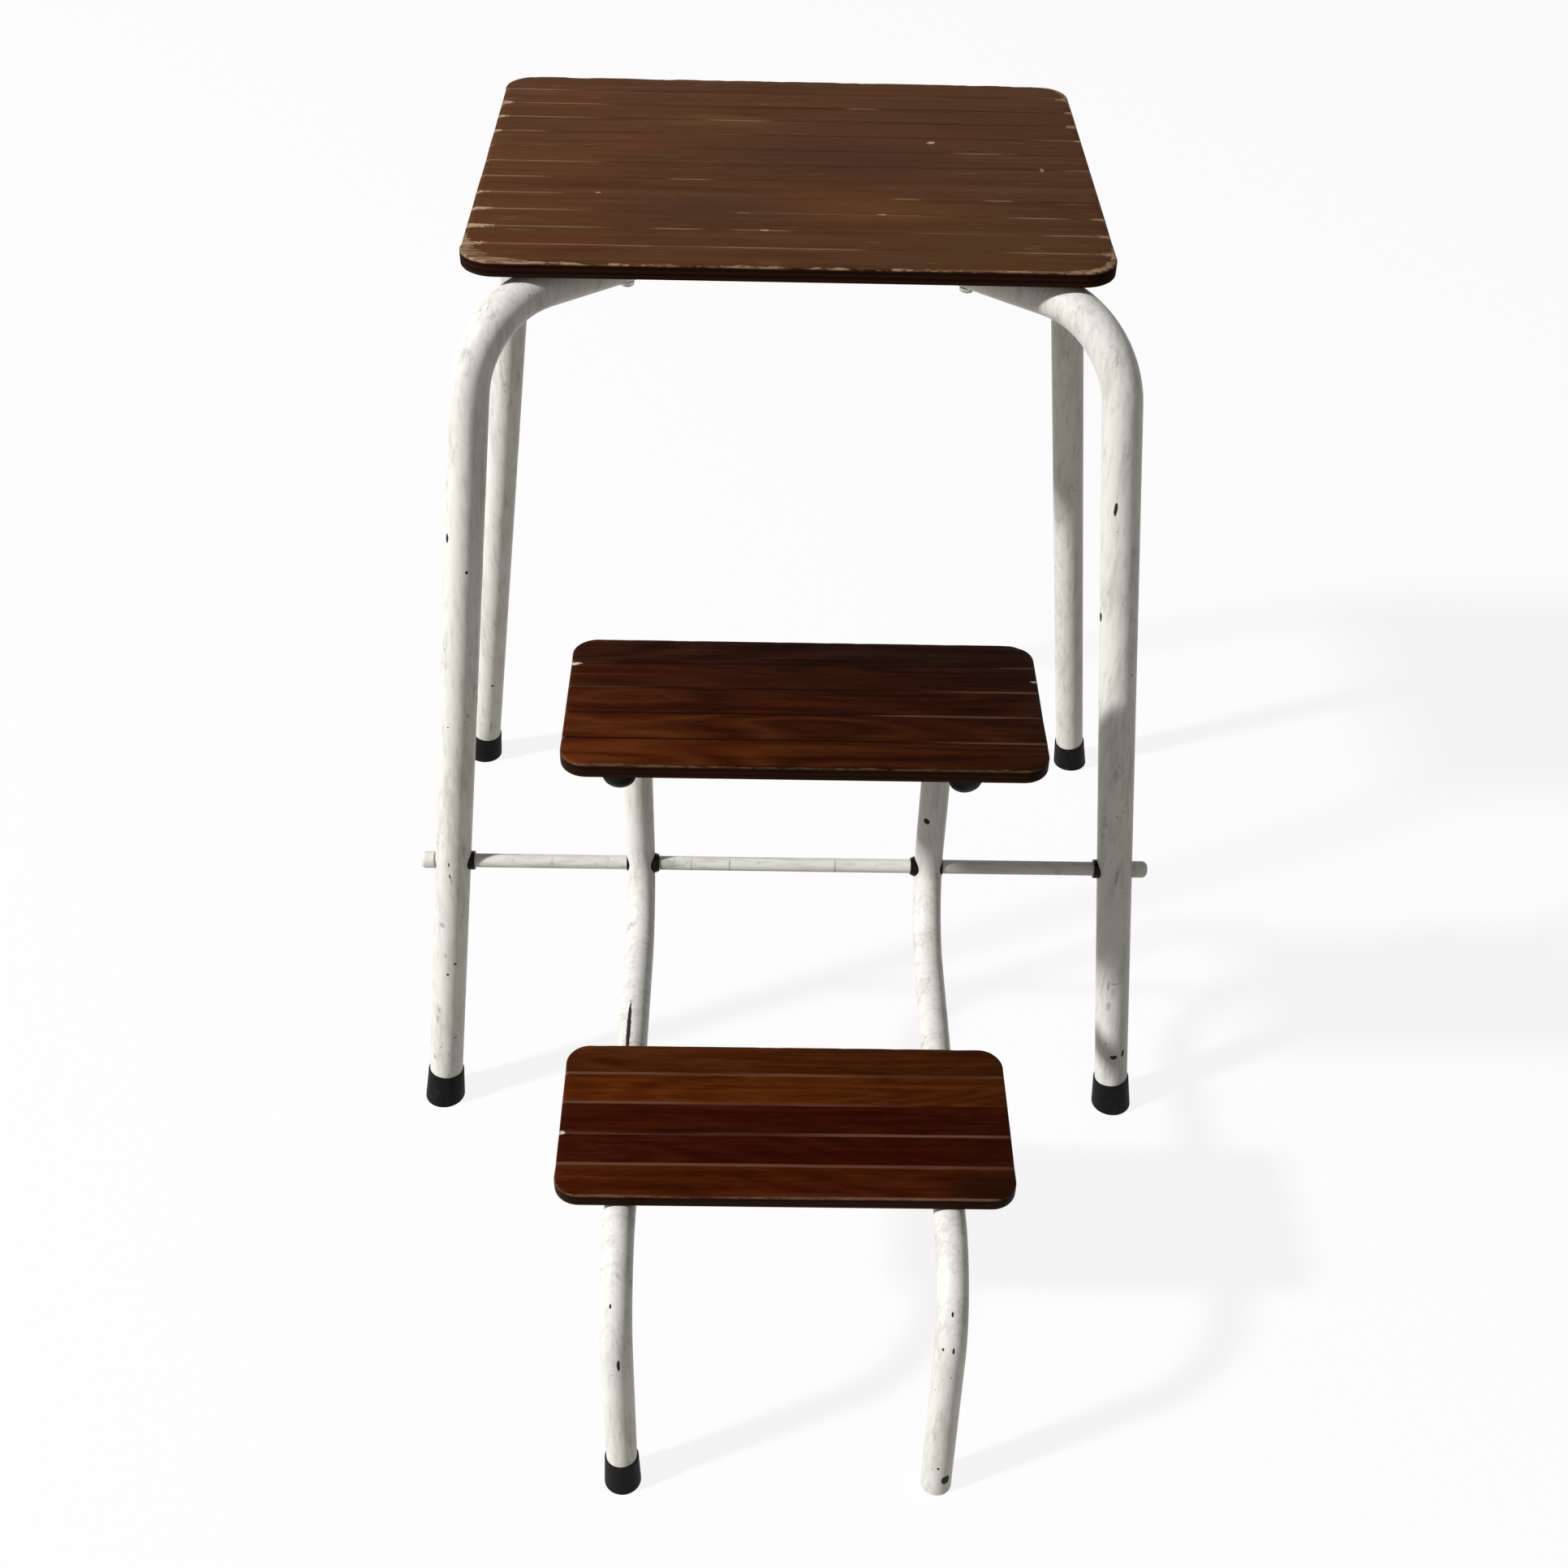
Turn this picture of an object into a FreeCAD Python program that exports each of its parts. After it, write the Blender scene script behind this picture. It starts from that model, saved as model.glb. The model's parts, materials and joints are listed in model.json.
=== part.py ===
import FreeCAD, Part
import math
import os

# Folding step stool: a slatted seat on four splayed tube legs whose runs cross under it,
# and a two-tread step unit that swings on a rod between the front legs.
# Millimetres, +X right, +Y back, +Z up. It is modelled about the seat's centre on the floor,
# then moved so that the origin is the middle of its footprint.

V = FreeCAD.Vector
RIGHT = V(1, 0, 0)
BACK = V(0, 1, 0)
UP = V(0, 0, 1)

# Seat
seat_height = 643
seat_width = 394
seat_depth = 313
seat_thickness = 10
seat_offset_x = -6
seat_corner = 22
seat_strips = 12

# Treads
tread_width = 288
tread_depth = 130
tread_thickness = 10
tread_corner = 16
tread_strips = 5
upper_tread_height = 437
upper_tread_y = -306
upper_tread_offset_x = 7
lower_tread_height = 201
lower_tread_y = -432

# Boards
board_edge_round = 1.5
groove_width = 1.6
groove_depth = 0.9

# Main frame
tube_diameter = 25
tube_wall = 1.5
front_foot_x = 262
front_foot_y = -227
rear_foot_x = 279
rear_foot_y = 216
front_slope_share = 0.143
rear_slope_share = 0.177
frame_bend = 60

# Rubber feet
foot_rim_wall = 1
foot_sole_wall = 2.5
foot_height = 28
foot_base = 5
foot_rim_round = 0.4
foot_sole_round = 1.5

# Pivot rod
rod_diameter = 10
rod_height = 224
rod_cap_diameter = 12
rod_cap_length = 10
rod_cap_bore_depth = 7
leg_bush_diameter = 13.5
leg_bush_length = 3
rod_clip_diameter = 12.5
rod_clip_thickness = 1.2
rod_clip_gap = 0.3

# Stringers
stringer_diameter = 20
stringer_wall = 1.5
stringer_inset = 41
stringer_bend = 60
stringer_setback = 20
stringer_foot_y = -570
stringer_leg_slope_share = 0.087
step_foot_sole_wall = 2
step_foot_height = 26
step_foot_base = 4
bare_end_lift = 0.4
bush_diameter = 12
bush_flange_diameter = 14
bush_flange_thickness = 1.5

# End plugs
plug_depth = 10
plug_head = 3
plug_dome = 3.5

# Fasteners
screw_diameter = 4.5
screw_head_diameter = 9
screw_head_height = 3
screw_head_round = 1.2
screw_bite = 6.5
screw_slot_width = 1.2
screw_slot_depth = 1.4
seat_screw_x = 106
plug_screw_gap = 2.75

# Clearances
touch_gap = 0.1
fit_gap = 0.05
cut_overrun = 20

# Worked out from the sizes above
tube_radius = tube_diameter / 2
rod_radius = rod_diameter / 2
stringer_radius = stringer_diameter / 2
seat_underside = seat_height - seat_thickness
frame_top = seat_underside - touch_gap - tube_radius
upper_run_z = upper_tread_height - tread_thickness - touch_gap - stringer_radius
lower_run_z = lower_tread_height - tread_thickness - touch_gap - stringer_radius
run_width = front_foot_x + rear_foot_x
run_depth = rear_foot_y - front_foot_y
run_rise = run_depth / run_width
across_share = run_width / math.hypot(run_width, run_depth)
along_share = run_depth / math.hypot(run_width, run_depth)
stringer_x = tread_width / 2 - stringer_inset
plug_end_setback = stringer_setback + plug_depth
tread_screw_half_spacing = tread_depth / 2 - plug_end_setback - plug_screw_gap - screw_diameter / 2


def leg_centre(height):
    # Centre of a front leg at a height, on the right-hand side.
    inward = front_slope_share * height
    return V(front_foot_x - inward * across_share, front_foot_y + inward * along_share, height)


rod_x = leg_centre(rod_height).x
rod_y = leg_centre(rod_height).y


def bent_wire(points, radius):
    # Straight runs joined by tangent arcs of one radius.
    edges = []
    start = points[0]
    for before, corner, after in zip(points, points[1:], points[2:]):
        towards = (before - corner).normalize()
        onwards = (after - corner).normalize()
        half_angle = towards.getAngle(onwards) / 2
        tangent = radius / math.tan(half_angle)
        bisector = (towards + onwards).normalize()
        centre = corner + bisector * (radius / math.sin(half_angle))
        first = corner + towards * tangent
        last = corner + onwards * tangent
        edges.append(Part.LineSegment(start, first).toShape())
        edges.append(Part.Arc(first, centre - bisector * radius, last).toShape())
        start = last
    edges.append(Part.LineSegment(start, points[-1]).toShape())
    return Part.Wire(edges)


def sweep(points, bend, radius):
    path = bent_wire(points, bend)
    profile = Part.Wire(Part.makeCircle(radius, points[0], points[1] - points[0]))
    return path.makePipeShell([profile], True, False)


def tube(points, bend, radius, wall):
    return sweep(points, bend, radius).cut(sweep(points, bend, radius - wall))


def rod_along(axis, centre, radius, length):
    return Part.makeCylinder(radius, length, centre - axis * (length / 2), axis)


def above_floor(shape, height):
    # Keeps what lies above a level plane.
    reach = shape.BoundBox.DiagonalLength
    corner = V(shape.BoundBox.XMin - cut_overrun, shape.BoundBox.YMin - cut_overrun, height)
    return shape.common(Part.makeBox(2 * reach, 2 * reach, 2 * reach, corner))


def board(width, depth, thickness, corner, strips, top_centre):
    # A board with rounded corners, eased edges and V-grooves between its strips.
    low = top_centre - V(width / 2, depth / 2, thickness)
    slab = Part.makeBox(width, depth, thickness, low)
    uprights = [e for e in slab.Edges if abs(e.Vertexes[0].Z - e.Vertexes[1].Z) > thickness / 2]
    slab = slab.makeFillet(corner, uprights)
    rims = [e for e in slab.Edges if e.BoundBox.ZLength < touch_gap]
    slab = slab.makeFillet(board_edge_round, rims)
    pitch = depth / strips
    for number in range(1, strips):
        start = V(low.x - cut_overrun, low.y + number * pitch, top_centre.z)
        corners = [
            start + V(0, -groove_width, groove_depth),
            start + V(0, groove_width, groove_depth),
            start - V(0, 0, groove_depth),
        ]
        profile = Part.Face(Part.makePolygon(corners + corners[:1]))
        slab = slab.cut(profile.extrude(RIGHT * (width + 2 * cut_overrun)))
    return slab


def screw(place, top_z, head_z):
    # A pan-head screw driven up from below, with a cross recess in its head.
    shank = Part.makeCylinder(screw_diameter / 2, top_z - head_z, V(place.x, place.y, head_z))
    head_low = V(place.x, place.y, head_z - screw_head_height)
    head = Part.makeCylinder(screw_head_diameter / 2, screw_head_height, head_low)
    rim = [e for e in head.Edges if e.BoundBox.ZMax < head_z - screw_head_height / 2]
    head = head.makeFillet(screw_head_round, [e for e in rim if e.BoundBox.ZLength < touch_gap])
    body = shank.fuse(head)
    arm = screw_head_diameter * 2 / 3
    for size in ((arm, screw_slot_width), (screw_slot_width, arm)):
        corner = head_low - V(size[0] / 2, size[1] / 2, screw_slot_depth)
        body = body.cut(Part.makeBox(size[0], size[1], 2 * screw_slot_depth, corner))
    return body.removeSplitter()


def screw_way(place, low_z, high_z):
    return Part.makeCylinder(screw_diameter / 2 + fit_gap, high_z - low_z, V(place.x, place.y, low_z))


def foot_cap(axis_low, direction, radius, sole_wall, height, base):
    # A rubber cup round a tube's end, wider towards its sole, which is flat on the floor.
    start = axis_low - direction * cut_overrun
    length = cut_overrun + height
    rim = radius + fit_gap + foot_rim_wall
    flare = (sole_wall - foot_rim_wall) / height
    body = Part.makeCone(rim + flare * length, rim, length, start, direction)
    top_rim = [e for e in body.Edges if e.BoundBox.ZMin > axis_low.z]
    body = above_floor(body.makeFillet(foot_rim_round, top_rim), 0)
    sole_rim = [e for e in body.Edges if e.BoundBox.ZMax < touch_gap]
    body = body.makeFillet(foot_sole_round, sole_rim)
    hollow = Part.makeCylinder(radius + fit_gap, length + height, start, direction)
    return body.cut(above_floor(hollow, base)).removeSplitter()


# Main frame. Side is -1 for the run whose front leg is on the left.

def frame_points(side):
    # Foot, bend, bend and foot of the run from a front leg to the rear leg of the other side.
    front_foot = V(side * front_foot_x, front_foot_y, 0)
    rear_foot = V(-side * rear_foot_x, rear_foot_y, 0)
    along = (rear_foot - front_foot).normalize()
    front_lean = along * front_slope_share + UP
    rear_lean = UP - along * rear_slope_share
    return [
        front_foot - front_lean * cut_overrun,
        front_foot + front_lean * frame_top,
        rear_foot + rear_lean * frame_top,
        rear_foot - rear_lean * cut_overrun,
    ]


def crossing():
    # Where the two runs' centrelines meet under the seat.
    return V(0, front_foot_y + front_foot_x * run_rise, frame_top)


def seat_screw_place(side, x):
    # A screw on the centreline of a run.
    return V(x, crossing().y - side * run_rise * x, 0)


def drilled(body, side, screw_sides, has_rod):
    # The frame's holes: for the seat's screws and, in a front leg, for the rod.
    for screw_side in screw_sides:
        place = seat_screw_place(side, screw_side * seat_screw_x)
        body = body.cut(screw_way(place, frame_top - tube_diameter, seat_underside))
    if has_rod:
        leg = V(side * rod_x, rod_y, rod_height)
        body = body.cut(rod_along(RIGHT, leg, rod_radius + fit_gap, 2 * tube_diameter))
    return body


def long_frame_tube():
    # One tube: front left leg, run under the seat, rear right leg.
    body = tube(frame_points(-1), frame_bend, tube_radius, tube_wall)
    return drilled(above_floor(body, foot_base), -1, (-1, 1), True)


def short_frame_tube(is_front):
    # A leg and half a run, coped to the long tube's side, where it is welded.
    points = frame_points(1)
    near = points[:2] if is_front else points[:1:-1]
    body = tube(near + [crossing()], frame_bend, tube_radius, tube_wall)
    long_run = frame_points(-1)
    span = long_run[2] - long_run[1]
    body = body.cut(Part.makeCylinder(tube_radius + fit_gap, span.Length, long_run[1], span))
    body = above_floor(body, foot_base)
    return drilled(body, 1, (1,) if is_front else (-1,), is_front)


def leg_line(end, above):
    # Where a leg's centreline meets the floor and the direction up it, for the rubber feet.
    up_leg = (above - end).normalize()
    return end - up_leg * (end.z / up_leg.z), up_leg


# Step unit

def stringer_points(x):
    front_end = upper_tread_y - tread_depth / 2 + stringer_setback
    bend_start = stringer_bend - (rod_height - lower_run_z)
    back_y = rod_y + stringer_bend - math.sqrt(stringer_bend ** 2 - bend_start ** 2)
    knee_y = stringer_foot_y + stringer_leg_slope_share * lower_run_z
    end_y = stringer_foot_y - stringer_leg_slope_share * cut_overrun
    return [
        V(x, front_end, upper_run_z),
        V(x, back_y, upper_run_z),
        V(x, back_y, lower_run_z),
        V(x, knee_y, lower_run_z),
        V(x, end_y, -cut_overrun),
    ]


def tread_screw_places(x, tread_y):
    return [V(x, tread_y + step, 0) for step in (-tread_screw_half_spacing, tread_screw_half_spacing)]


def stringer(x, end_height):
    body = tube(stringer_points(x), stringer_bend, stringer_radius, stringer_wall)
    body = above_floor(body, end_height)
    bush_hole = rod_along(RIGHT, V(x, rod_y, rod_height), bush_diameter / 2 + fit_gap, 2 * stringer_diameter)
    body = body.cut(bush_hole)
    for tread_y, run_z in ((upper_tread_y, upper_run_z), (lower_tread_y, lower_run_z)):
        for place in tread_screw_places(x, tread_y):
            body = body.cut(screw_way(place, run_z - stringer_diameter, run_z + stringer_diameter))
    return body


def stringer_bush(side):
    # A plastic sleeve in the stringer, with a flange that hugs the tube's inner face.
    length = stringer_diameter + bush_flange_thickness
    inner_end = side * (stringer_x - stringer_radius - bush_flange_thickness)
    axis = RIGHT * side
    start = V(inner_end, rod_y, rod_height)
    sleeve = Part.makeCylinder(bush_diameter / 2, length, start, axis)
    flange_length = bush_flange_thickness + stringer_radius / 2
    flange = Part.makeCylinder(bush_flange_diameter / 2, flange_length, start, axis)
    points = stringer_points(side * stringer_x)
    flange = flange.cut(sweep(points, stringer_bend, stringer_radius + fit_gap))
    flange = max(flange.Solids, key=lambda solid: solid.Volume)
    bore = rod_along(axis, V(side * stringer_x, rod_y, rod_height), rod_radius + fit_gap, 2 * length)
    return flange.fuse(sleeve).cut(bore).removeSplitter()


def end_plug(x):
    # A plug pushed into the stringer's front end, with a domed head as wide as the tube.
    end = V(x, stringer_points(x)[0].y, upper_run_z)
    stem_radius = stringer_radius - stringer_wall - fit_gap
    dome_radius = (stringer_radius ** 2 + plug_dome ** 2) / (2 * plug_dome)
    half_turn = math.asin(stringer_radius / dome_radius) / 2
    drop = dome_radius * (1 - math.cos(half_turn))

    def at(out, forward):
        return end + RIGHT * out - BACK * forward

    tip = at(0, plug_head + plug_dome)
    shoulder = at(stringer_radius, plug_head)
    dome_middle = at(dome_radius * math.sin(half_turn), plug_head + plug_dome - drop)
    corners = [
        shoulder,
        at(stringer_radius, 0),
        at(stem_radius, 0),
        at(stem_radius, -plug_depth),
        at(0, -plug_depth),
        tip,
    ]
    edges = [Part.LineSegment(a, b).toShape() for a, b in zip(corners, corners[1:])]
    edges.append(Part.Arc(tip, dome_middle, shoulder).toShape())
    return Part.Face(Part.Wire(edges)).revolve(end, BACK, 360)


def rod_cap(side):
    # A domed cap pushed over the rod's end, outside the leg.
    outside = rod_cap_seat()
    start = V(side * outside, rod_y, rod_height)
    axis = RIGHT * side
    radius = rod_cap_diameter / 2
    dome = radius * 2 / 3
    body = Part.makeCylinder(radius, rod_cap_length, start, axis)
    far_rim = [e for e in body.Edges if e.BoundBox.XLength < touch_gap]
    far_rim = [e for e in far_rim if abs(e.CenterOfMass.x) > outside + rod_cap_length / 2]
    body = body.makeFillet(dome, far_rim)
    bore = Part.makeCylinder(rod_radius + fit_gap, rod_cap_bore_depth, start, axis)
    return body.cut(bore)


def rod_cap_seat():
    # Where the cap's mouth clears the leaning leg's outer face.
    lean = front_slope_share * across_share
    return rod_x + tube_radius * math.hypot(1, lean) + rod_cap_diameter / 2 * lean + touch_gap


def leg_bush(side):
    # A black ring on the rod, shaped to the leg's inner face.
    inner_end = rod_x - tube_radius - leg_bush_length
    start = V(side * inner_end, rod_y, rod_height)
    axis = RIGHT * side
    ring = Part.makeCylinder(leg_bush_diameter / 2, leg_bush_length + tube_radius / 2, start, axis)
    points = frame_points(side)
    leg = Part.makeCylinder(tube_radius + fit_gap, seat_height, points[0], points[1] - points[0])
    ring = max(ring.cut(leg).Solids, key=lambda solid: solid.Volume)
    return ring.cut(rod_along(RIGHT, start, rod_radius + fit_gap, 2 * tube_diameter))


def rod_clip(side):
    # A push-on ring that keeps the step unit in the middle of the rod.
    outer_face = stringer_x - stringer_radius - bush_flange_thickness - rod_clip_gap
    start = V(side * outer_face, rod_y, rod_height)
    ring = Part.makeCylinder(rod_clip_diameter / 2, rod_clip_thickness, start, RIGHT * -side)
    return ring.cut(rod_along(RIGHT, start, rod_radius + fit_gap / 2, tube_diameter))


def seat_board():
    top_centre = V(seat_offset_x, 0, seat_height)
    body = board(seat_width, seat_depth, seat_thickness, seat_corner, seat_strips, top_centre)
    for side in (-1, 1):
        for x in (-seat_screw_x, seat_screw_x):
            place = seat_screw_place(side, x)
            body = body.cut(screw_way(place, seat_underside - touch_gap, seat_underside + screw_bite))
    return body


def tread_board(top_centre):
    body = board(tread_width, tread_depth, tread_thickness, tread_corner, tread_strips, top_centre)
    underside = top_centre.z - tread_thickness
    for x in (-stringer_x, stringer_x):
        for place in tread_screw_places(x, top_centre.y):
            body = body.cut(screw_way(place, underside - touch_gap, underside + screw_bite))
    return body


def tread_screws(top_z, centre_y, run_z):
    screws = []
    for x in (-stringer_x, stringer_x):
        for place in tread_screw_places(x, centre_y):
            tip = top_z - tread_thickness + screw_bite - touch_gap
            screws.append(screw(place, tip, run_z - stringer_radius))
    return Part.makeCompound(screws)


def seat_screws():
    screws = []
    tip = seat_underside + screw_bite - touch_gap
    for side in (-1, 1):
        for x in (-seat_screw_x, seat_screw_x):
            screws.append(screw(seat_screw_place(side, x), tip, frame_top - tube_radius))
    return Part.makeCompound(screws)


nodes = {
    "seat_board": seat_board(),
    "long_frame_tube": long_frame_tube(),
    "front_right_frame_tube": short_frame_tube(True),
    "rear_left_frame_tube": short_frame_tube(False),
    "seat_screws": seat_screws(),
    "upper_tread": tread_board(V(upper_tread_offset_x, upper_tread_y, upper_tread_height)),
    "lower_tread": tread_board(V(0, lower_tread_y, lower_tread_height)),
    "upper_tread_screws": tread_screws(upper_tread_height, upper_tread_y, upper_run_z),
    "lower_tread_screws": tread_screws(lower_tread_height, lower_tread_y, lower_run_z),
}

rod_end = rod_cap_seat() + rod_cap_bore_depth - touch_gap
nodes["pivot_rod"] = rod_along(RIGHT, V(0, rod_y, rod_height), rod_radius, 2 * rod_end)

for side, name in ((-1, "left"), (1, "right")):
    nodes[name + "_rod_cap"] = rod_cap(side)
    nodes[name + "_leg_bush"] = leg_bush(side)
    nodes[name + "_rod_clip"] = rod_clip(side)
    nodes[name + "_stringer_bush"] = stringer_bush(side)
    nodes[name + "_end_plug"] = end_plug(side * stringer_x)
    front = leg_line(*frame_points(side)[:2])
    rear = leg_line(*frame_points(-side)[:1:-1])
    nodes["front_" + name + "_foot"] = foot_cap(*front, tube_radius, foot_sole_wall, foot_height, foot_base)
    nodes["rear_" + name + "_foot"] = foot_cap(*rear, tube_radius, foot_sole_wall, foot_height, foot_base)

# Only the left stringer keeps its rubber foot. The right one stands on its bare end.
nodes["left_stringer"] = stringer(-stringer_x, step_foot_base)
nodes["right_stringer"] = stringer(stringer_x, bare_end_lift)
step_leg = leg_line(*stringer_points(-stringer_x)[:2:-1])
nodes["left_step_foot"] = foot_cap(
    *step_leg, stringer_radius, step_foot_sole_wall, step_foot_height, step_foot_base)

whole = Part.makeCompound(list(nodes.values())).optimalBoundingBox(True, False)
shift = V(-whole.Center.x, -whole.Center.y, 0)

os.makedirs("parts", exist_ok=True)
for name, shape in nodes.items():
    moved = shape.copy()
    moved.translate(shift)
    moved.exportStep("parts/" + name + ".step")
    print(name, len(moved.Solids), moved.isValid(), round(moved.Volume, 1))

print("shift", round(shift.x, 4), round(shift.y, 4))
print("size", round(whole.XLength, 2), round(whole.YLength, 2), round(whole.ZLength, 2), "low", round(whole.ZMin, 4))
print("rod", round(rod_y + shift.y, 4), rod_height, "half length", round(rod_end, 2))
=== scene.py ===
import bmesh
import bpy
import json
import math
from mathutils import Matrix, Vector, noise


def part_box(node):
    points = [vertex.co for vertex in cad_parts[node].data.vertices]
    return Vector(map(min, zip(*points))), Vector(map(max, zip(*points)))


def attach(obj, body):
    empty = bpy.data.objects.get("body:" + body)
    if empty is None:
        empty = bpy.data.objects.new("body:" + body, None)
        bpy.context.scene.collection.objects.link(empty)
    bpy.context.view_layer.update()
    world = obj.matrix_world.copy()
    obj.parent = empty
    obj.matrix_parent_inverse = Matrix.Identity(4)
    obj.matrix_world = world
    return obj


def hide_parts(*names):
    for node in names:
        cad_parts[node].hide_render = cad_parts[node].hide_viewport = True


# Folding step stool: worn stained boards, cream enamel with brush marks, black rubber.
# Metres, +X right, +Y back, +Z up.

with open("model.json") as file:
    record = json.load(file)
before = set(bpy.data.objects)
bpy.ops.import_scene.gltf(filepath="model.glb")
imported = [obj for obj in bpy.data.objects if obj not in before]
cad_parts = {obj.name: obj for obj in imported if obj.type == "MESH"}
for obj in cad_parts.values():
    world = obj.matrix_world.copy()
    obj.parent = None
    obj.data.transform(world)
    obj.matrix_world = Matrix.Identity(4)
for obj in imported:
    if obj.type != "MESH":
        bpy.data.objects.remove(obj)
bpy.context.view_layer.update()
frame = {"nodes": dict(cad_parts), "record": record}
parts = frame["nodes"]
scene = bpy.context.scene
scene.view_settings.view_transform = "Standard"
print("frame loaded with", len(parts), "pieces")


# Camera at the photograph's place

cameraSet = {
    "place": (-0.0227, -1.09422, 1.1238),
    "pitchDown": 42.744,
    "yawRight": 1.235,
    "rollRight": -1.592,
    "focalPixels": 2389.0,
    "centrePixels": (964.5, 1169.6),
    "imagePixels": 1932,
    "sensorWidth": 36.0,
    "clipNear": 0.01,
}


def makeCamera(values):
    size = values["imagePixels"]
    lens = bpy.data.cameras.new("photoCamera")
    lens.sensor_width = values["sensorWidth"]
    lens.lens = values["sensorWidth"] * values["focalPixels"] / size
    lens.shift_x = (size / 2 - values["centrePixels"][0]) / size
    lens.shift_y = (values["centrePixels"][1] - size / 2) / size
    lens.clip_start = values["clipNear"]
    camera = bpy.data.objects.new("photoCamera", lens)
    turn = Matrix.Rotation(-math.radians(values["yawRight"]), 3, "Z")
    turn = turn @ Matrix.Rotation(math.radians(90 - values["pitchDown"]), 3, "X")
    turn = turn @ Matrix.Rotation(-math.radians(values["rollRight"]), 3, "Z")
    camera.rotation_euler = turn.to_euler()
    camera.location = values["place"]
    scene.collection.objects.link(camera)
    scene.camera = camera


makeCamera(cameraSet)
print("camera set")


# Shader maths

class Wire:
    # One socket of a material. Sums on it add Math nodes.
    def __init__(self, tree, socket=None):
        self.tree = tree
        self.socket = socket

    def node(self, kind, settings=None, sockets=None, out=0):
        made = self.tree.nodes.new(kind)
        for name, value in (settings or {}).items():
            if name == "stops":
                fillRamp(made.color_ramp, value)
            else:
                setattr(made, name, value)
        for key, value in (sockets or {}).items():
            if isinstance(value, Wire):
                self.tree.links.new(value.socket, made.inputs[key])
            else:
                made.inputs[key].default_value = value
        return Wire(self.tree, made.outputs[out])

    def maths(self, operation, first, second=0.0):
        return self.node("ShaderNodeMath", {"operation": operation}, {0: first, 1: second})

    def __add__(self, other):
        return self.maths("ADD", self, other)

    def __radd__(self, other):
        return self.maths("ADD", other, self)

    def __sub__(self, other):
        return self.maths("SUBTRACT", self, other)

    def __rsub__(self, other):
        return self.maths("SUBTRACT", other, self)

    def __mul__(self, other):
        return self.maths("MULTIPLY", self, other)

    def __rmul__(self, other):
        return self.maths("MULTIPLY", other, self)

    def __truediv__(self, other):
        return self.maths("DIVIDE", self, other)

    def __rtruediv__(self, other):
        return self.maths("DIVIDE", other, self)

    def __abs__(self):
        return self.maths("ABSOLUTE", self)


def fillRamp(ramp, stops):
    # Stops are pairs of a place and a colour.
    while len(ramp.elements) < len(stops):
        ramp.elements.new(1.0)
    for element, (place, colour) in zip(ramp.elements, stops):
        element.position = place
        element.color = (*colour, 1.0)


def startMaterial(name):
    # A new material, its shader and the piece's own coordinates.
    made = bpy.data.materials.new(name)
    made.use_nodes = True
    tree = made.node_tree
    place = Wire(tree).node("ShaderNodeTexCoord", out="Object")
    return made, tree.nodes["Principled BSDF"], place


def plug(shader, name, wire):
    wire.tree.links.new(wire.socket, shader.inputs[name])


def axes(place):
    first = place.node("ShaderNodeSeparateXYZ", None, {0: place})
    return [Wire(place.tree, output) for output in first.socket.node.outputs]


def vector(x, y, z):
    return x.node("ShaderNodeCombineXYZ", None, {0: x, 1: y, 2: z})


def speckle(place, scale, detail=2.0, roughness=0.5, distortion=0.0):
    # Noise with its own scale, in turns to a metre, along each axis.
    sockets = {
        "Vector": place.node("ShaderNodeMapping", None, {"Vector": place, "Scale": scale}),
        "Scale": 1.0,
        "Detail": detail,
        "Roughness": roughness,
        "Distortion": distortion,
    }
    return place.node("ShaderNodeTexNoise", None, sockets)


def ramp(value, low, high):
    # A smooth rise from 0 at low to 1 at high. It falls where low is the larger.
    ends = {"Value": value, "From Min": low, "From Max": high}
    return value.node("ShaderNodeMapRange", {"interpolation_type": "SMOOTHSTEP"}, ends)


def mixed(mask, first, second, kind="MIX"):
    # Two colours mixed by a mask, each a socket or plain numbers. Sockets 6, 7 and out 2 are the colours.
    tree = next(value.tree for value in (mask, first, second) if isinstance(value, Wire))
    first = (*first, 1.0) if isinstance(first, tuple) else first
    second = (*second, 1.0) if isinstance(second, tuple) else second
    settings = {"data_type": "RGBA", "blend_type": kind}
    return Wire(tree).node("ShaderNodeMix", settings, {0: mask, 6: first, 7: second}, 2)


def shaded(colour, value):
    # A colour made darker or lighter by a plain value
    return mixed(1.0, colour, vector(value, value, value), "MULTIPLY")


def colours(value, stops, interpolation="LINEAR"):
    made = value.node("ShaderNodeValToRGB", {"stops": stops}, {0: value})
    made.socket.node.color_ramp.interpolation = interpolation
    return made


def bump(height, depth):
    # Height from 0 to 1, as a relief that deep.
    return height.node("ShaderNodeBump", None, {"Height": height, "Distance": depth, "Strength": 1.0})


def nearness(place, spot, reach):
    # 1 at a spot, falling to 0 at the ellipsoid with these half sizes.
    away = place.node("ShaderNodeVectorMath", {"operation": "SUBTRACT"}, {0: place, 1: spot})
    scaled = place.node("ShaderNodeVectorMath", {"operation": "DIVIDE"}, {0: away, 1: reach})
    distance = place.node("ShaderNodeVectorMath", {"operation": "LENGTH"}, {0: scaled}, "Value")
    return 1.0 - distance


def nearestOf(place, spots):
    # The same for the nearest of several spots
    best = nearness(place, *spots[0])
    for spot, reach in spots[1:]:
        best = best.maths("MAXIMUM", best, nearness(place, spot, reach))
    return best


def addPiece(name, mesh, finish):
    # A finished bmesh as an object of the scene
    data = bpy.data.meshes.new(name)
    mesh.to_mesh(data)
    mesh.free()
    data.materials.append(finish)
    piece = bpy.data.objects.new(name, data)
    scene.collection.objects.link(piece)
    return piece


# Wood of the seat and the treads

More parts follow.
